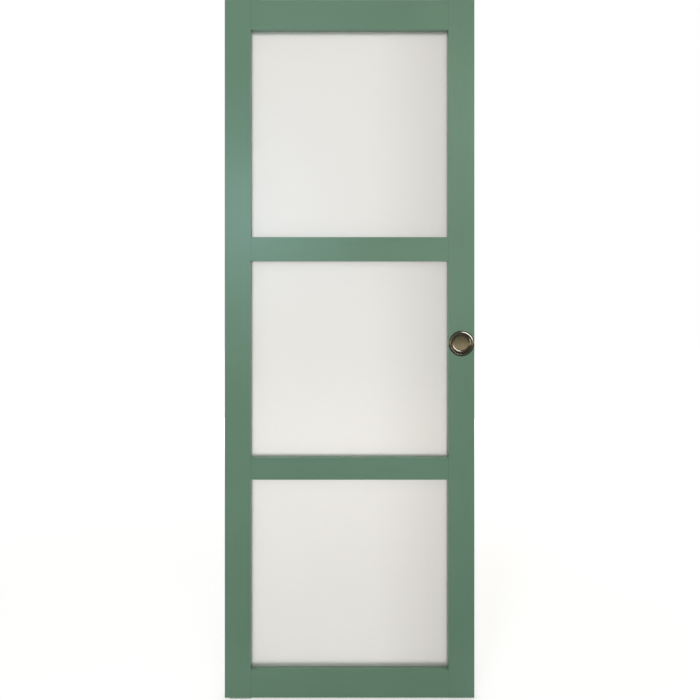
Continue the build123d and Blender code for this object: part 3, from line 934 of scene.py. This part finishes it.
# %% Turn the axles
HEAD_RADIUS = 4.0 * MM
HEAD_THICKNESS = 0.55 * MM
HEAD_EDGE = 0.2 * MM
HEAD_LAND = HEAD_RADIUS - 1.2 * MM
AXLE_EASES = np.array([0, 0.5, 0.1, 0.05, 0.05, 0, 0.05, 0.05, 0.1, 0.5, 0]) * MM
axle_middle, axle_size = middle_of("axles")
axle_end = axle_size.y / 2
head_start = axle_end - HEAD_THICKNESS
axle_half = [(AXLE_RADIUS, 0), (AXLE_RADIUS, head_start), (HEAD_RADIUS, head_start),
             (HEAD_RADIUS, axle_end - HEAD_EDGE), (HEAD_LAND, axle_end), (0, axle_end)]
axle_corners = np.array([(r, -h) for r, h in axle_half[:0:-1]] + axle_half)
axle_profile = ease(axle_corners, AXLE_EASES, 4)
axle_x = sorted({round(middle_of(name)[0].x, 5) for name in wheels})
grids = [carry_round(axle_profile, (x, 0, axle_middle.z), (0, 1, 0), 40) for x in axle_x]
make_piece("axles_peened", grids, False, zinc, "leaf", ("axles",))
print("axles at", axle_x)

# %% [markdown]
# ## Hexagon heads, nuts and threads
# A bolt's head is a round bar that is turned first and cut to six flats second. That is
# also how it is computed: a chamfered profile is carried round, and its radius is held
# below the hexagon's. Where the cone meets the flats, the curved chamfer lines that
# everyone knows appear by themselves. The thread is a cylinder whose radius rises and
# falls with the height and the angle together.

# %% Cut the hexagons
SIXTH = np.pi / 3
LAND_SHARE = 0.46


def hexagon(flats):
    """The largest radius at each angle of a hexagon with the given width over flats:
    half the width, divided by the cosine of the angle from the nearest flat's middle."""
    def outline(angle):
        off_flat = (angle + SIXTH / 2) % SIXTH - SIXTH / 2
        return flats / 2 / np.cos(off_flat)
    return outline


def corner_radius(flats):
    """The distance of a hexagon's corners from its middle."""
    return flats / 2 / np.cos(SIXTH / 2)


def head_profile(flats, base, top, bore=0.0, both_ends=False):
    """A chamfered bar: flat out to the land, about nine tenths of the way to the flats,
    then a 30 degree cone out to the corners. A bored bar stops at the bore."""
    corner, land = corner_radius(flats), LAND_SHARE * flats
    drop = (corner - land) * np.tan(SIXTH / 2)
    cone = np.linspace(0, 1, 8)[:, None]
    upper = np.array([[corner, top - drop]]) * (1 - cone) + np.array([[land, top]]) * cone
    lower = np.array([[land, base]]) * (1 - cone) + np.array([[corner, base + drop]]) * cone
    if not both_ends:
        lower = np.array([[corner, base]])
    return np.concatenate([[[bore, base]], lower, upper, [[bore, top]]])


print("corners of 13 mm flats:", round(corner_radius(13.0), 3), "mm from the middle")

# %% Cut the threads
THREAD_DEPTH = 0.54
THREAD_ROWS = 8
TAPER_TURNS = 1.5
TAPER_DEPTH = 0.9


def thread_grid(centre, base, top, radius, pitch, turns=36):
    """A threaded shank. At height h and angle a the radius is the full radius less the
    thread's depth times |2u - 1|, where u is the fraction of h / pitch - a / 2 pi. The
    last pitch and a half at the base tapers so that the thread starts gently."""
    depth = THREAD_DEPTH * pitch
    rows = int(np.ceil((top - base) / pitch * THREAD_ROWS))
    height = np.linspace(base, top, rows)[:, None]
    angle = np.linspace(0, 2 * np.pi, turns, endpoint=False)[None, :]
    u = (height / pitch - angle / (2 * np.pi)) % 1.0
    taper = np.clip((height - base) / (TAPER_TURNS * pitch), 0, 1)
    r = radius - depth * np.abs(2 * u - 1) - (1 - taper) * depth * TAPER_DEPTH
    side = np.stack([r * np.cos(angle), r * np.sin(angle), height + 0 * angle], axis=-1)
    caps = [np.stack([0 * angle, 0 * angle, h + 0 * angle], axis=-1) for h in (base, top)]
    return np.concatenate([caps[0], side, caps[1]]) + np.asarray(centre, float)


print("thread of a 1.25 mm pitch is", round(THREAD_DEPTH * 1.25, 3), "mm deep")

# %% [markdown]
# ## Hanger bolts and lock nuts
# Each end of the leaf hangs from one bolt: its head lies in the trolley, its shank is
# screwed into the plate, and a nut locks it once the height is set. Head and shank are
# two grids in one piece, and the shank runs a little way up into the head so that no
# gap can open between them.

# %% Make the hanger bolts and lock nuts
BOLT_RADIUS = 4.0 * MM
BOLT_PITCH = 1.25 * MM
BOLT_FLATS = 13.0 * MM
BOLT_HEAD = 5.3 * MM
SHANK_OVERLAP = 0.3 * MM
for end in ("left", "right"):
    low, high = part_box(f"hanger_bolt_{end}")
    centre = ((low.x + high.x) / 2, 0, 0)
    seat = high.z - BOLT_HEAD
    head = carry_round(head_profile(BOLT_FLATS, seat, high.z), centre, outline=hexagon(BOLT_FLATS))
    shank = thread_grid(centre, low.z, seat + SHANK_OVERLAP, BOLT_RADIUS, BOLT_PITCH)
    make_piece(f"hanger_bolt_{end}_threaded", [head, shank], False, zinc, "leaf",
               (f"hanger_bolt_{end}",), 35)
    low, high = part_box(f"lock_nut_{end}")
    profile = head_profile(BOLT_FLATS, low.z, high.z, BOLT_RADIUS + BORE_GAP, True)
    nut = carry_round(profile, centre, outline=hexagon(BOLT_FLATS))
    make_piece(f"lock_nut_{end}_chamfered", [nut], True, zinc, "leaf",
               (f"lock_nut_{end}",), 35)
print("bolts and nuts made")

# %% [markdown]
# ## Plate screws
# Two hexagon-headed wood screws hold each plate down. They are one node of the model,
# so they are one piece here: four heads and four shanks. Their places are read from the
# node's box, whose far end is the corner of the last head.

# %% Make the plate screws
SCREW_FLATS = 8.0 * MM
SCREW_RADIUS = 2.5 * MM
SCREW_HEAD = 3.5 * MM
SCREW_PITCH = 2.2 * MM
plate_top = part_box("hanger_plate_left")[1].z
screw_low, screw_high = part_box("hanger_plate_screws")
plate_middles = [middle_of(f"hanger_plate_{end}")[0].x for end in ("left", "right")]
half_pitch = round(screw_high.x - corner_radius(SCREW_FLATS) - plate_middles[1], 3)
head_section = head_profile(SCREW_FLATS, plate_top, plate_top + SCREW_HEAD)
grids = []
for x in plate_middles:
    for side in (-1, 1):
        centre = (x + side * half_pitch, 0, 0)
        grids.append(carry_round(head_section, centre, turns=72, outline=hexagon(SCREW_FLATS)))
        grids.append(thread_grid(centre, screw_low.z, plate_top + SHANK_OVERLAP,
                                 SCREW_RADIUS, SCREW_PITCH, 24))
make_piece("plate_screws_threaded", grids, False, zinc, "leaf",
           ("hanger_plate_screws",), 35)
print("screws at", half_pitch, "from each plate's middle")

# %% [markdown]
# ## Pins in the beads
# The beads that hold the panes are pinned from the back. A painter sinks each pin and
# fills the hole, and the filling dries to a small disc that still shows under the paint.
# The discs are one piece, a low dome repeated along every bead. One bead has none: the
# back pull's bore cuts into it.

# %% Find the line of the pins
PIN_LINE = 0.35


def bead_line(name, low, high, across):
    """The middle of the flat part of a bead's back, which lies next to the rebate: a
    third of the bead's width from the edge that is further from the pane's middle."""
    pane_middle = middle_of("pane_" + name.split("_")[1])[0]
    outer, inner = low[across], high[across]
    if (outer + inner) / 2 > pane_middle[across]:
        outer, inner = inner, outer
    return outer + (inner - outer) * PIN_LINE


pinned = [name for name in nodes if name.startswith("bead_") and name != "bead_middle_right"]
print("pinned beads:", len(pinned))

# %% Fill the pin holes
PIN_RADIUS = 1.7 * MM
PIN_FLAT = 0.9
PIN_RISE = 0.12 * MM
PIN_SINK = 0.05 * MM
PIN_SPACING = 150 * MM
PIN_INSET = 30 * MM
pin_profile = bow((0, PIN_RISE), (PIN_RADIUS * PIN_FLAT, PIN_RISE), (PIN_RADIUS, -PIN_SINK), 6)
grids = []
for name in pinned:
    low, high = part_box(name)
    along = 0 if high.x - low.x > high.z - low.z else 2
    across = 2 - along
    count = int((high[along] - low[along] - 2 * PIN_INSET) // PIN_SPACING) + 2
    for place in np.linspace(low[along] + PIN_INSET, high[along] - PIN_INSET, count):
        centre = [0, high.y, 0]
        centre[along], centre[across] = place, bead_line(name, low, high, across)
        grids.append(carry_round(pin_profile, centre, (0, 1, 0), 14))
make_piece("bead_pin_fillings", grids, False, paint_upright, "leaf")
print("pins filled:", len(grids))

# %% [markdown]
# ## A flag for the left lamp
# A photographer keeps a lamp's light off one piece with a flag on a stand. The lamp
# that lays the sheen on the stile would put a cold glare on the track and spots on the
# pull. Light linking does the flag's work: the lamp gets a collection of the metal
# pieces, each marked as left out.

# %% Keep the left lamp off the metal
flag = bpy.data.collections.new("sheen_flag")
sheen_left.light_linking.receiver_collection = flag
for piece in [o for o in bpy.data.objects if o.type == "MESH" and o.data.materials]:
    if piece.data.materials[0] in (nickel, zinc, aluminium):
        flag.objects.link(piece)
        flag.collection_objects[len(flag.objects) - 1].light_linking.link_state = "EXCLUDE"
